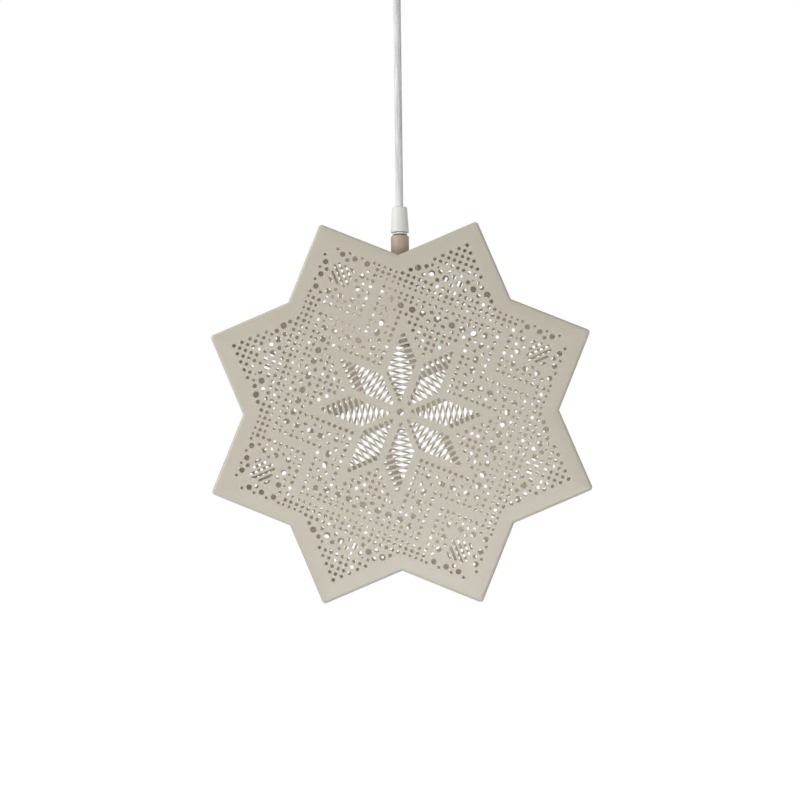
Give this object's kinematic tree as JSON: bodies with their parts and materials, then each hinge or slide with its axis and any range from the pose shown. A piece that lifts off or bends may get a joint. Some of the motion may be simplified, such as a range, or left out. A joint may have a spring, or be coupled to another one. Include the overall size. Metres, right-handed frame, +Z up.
{
  "type": "star pendant light",
  "caption": "Flat eight-pointed star pendant light of pierced sheet metal, hung by a braided cord and a tapered grip from a ceiling canopy.",
  "frame": {"origin": "on the ceiling, on the axis of the cord", "axes": "+Z up to the ceiling, -Y towards the front of the star, +X to the right in the front view"},
  "size_m": [0.3674, 0.092, 0.6719],
  "materials": {
    "shade_paint": "satin stone-beige powder coat",
    "neck_paint": "satin stone-beige powder coat",
    "cord_braid": "off-white woven braid",
    "grip_plastic": "off-white moulded",
    "canopy_plastic": "off-white moulded",
    "fitting_plastic": "off-white moulded",
    "block_plastic": "natural white moulded",
    "holder_plastic": "black phenolic",
    "core_insulation": "blue-grey insulation",
    "earth_insulation": "green insulation",
    "contact_brass": "plain",
    "bracket_steel": "zinc plated",
    "clip_steel": "spring steel",
    "nut_steel": "zinc plated",
    "nipple_steel": "zinc plated",
    "rivet_steel": "plain",
    "screw_steel": "zinc plated"
  },
  "bodies": {
    "ceiling": {"ceiling_bracket": "bracket_steel", "cord_anchor": "fitting_plastic", "anchor_nut": "nut_steel", "anchor_screw": "screw_steel", "cord_stub": "cord_braid", "terminal_block": "block_plastic", "terminal_poles": "contact_brass", "terminal_screws": "screw_steel", "block_screw": "screw_steel", "ceiling_leads": "core_insulation"},
    "canopy": {"canopy": "canopy_plastic", "canopy_screw": "screw_steel"},
    "upper_cord": {"upper_cord": "cord_braid"},
    "cord": {"cord": "cord_braid"},
    "star": {"cord_grip": "grip_plastic", "grip_screw": "screw_steel", "grip_washer": "grip_plastic", "cord_tail": "cord_braid", "neck_tube": "neck_paint", "threaded_nipple": "nipple_steel", "hanger_bracket": "bracket_steel", "hanger_rivets": "rivet_steel", "hanger_nut": "nut_steel", "socket_cup": "shade_paint", "holder_cap": "holder_plastic", "holder_shell": "holder_plastic", "lamp_sleeve": "contact_brass", "centre_contact": "contact_brass", "holder_terminals": "contact_brass", "holder_screws": "screw_steel", "holder_leads": "core_insulation", "earth_tag": "contact_brass", "earth_nut": "nut_steel", "earth_lead": "earth_insulation", "front_panel": "shade_paint", "wall_band": "shade_paint"},
    "back": {"back_panel": "shade_paint", "lid_clips": "clip_steel"}
  },
  "joints": [
    {"name": "canopy_slide", "type": "slide", "parent": "ceiling", "child": "canopy", "axis": [0, 0, -1], "range_m": [0, 0.0275]},
    {"name": "cord_twist", "type": "hinge", "parent": "ceiling", "child": "upper_cord", "pos_m": [0, 0, -0.04], "axis": [0, 0, 1], "range_deg": [-180, 180]},
    {"name": "cord_swing", "type": "hinge", "parent": "upper_cord", "child": "cord", "pos_m": [0, 0, -0.0605], "axis": [0, 1, 0], "range_deg": [-20, 20]},
    {"name": "star_nod", "type": "hinge", "parent": "cord", "child": "star", "pos_m": [0, 0, -0.2815], "axis": [1, 0, 0], "range_deg": [-12, 12]},
    {"name": "back_pull", "type": "slide", "parent": "star", "child": "back", "axis": [0, 1, 0], "range_m": [0, 0.12]}
  ]
}
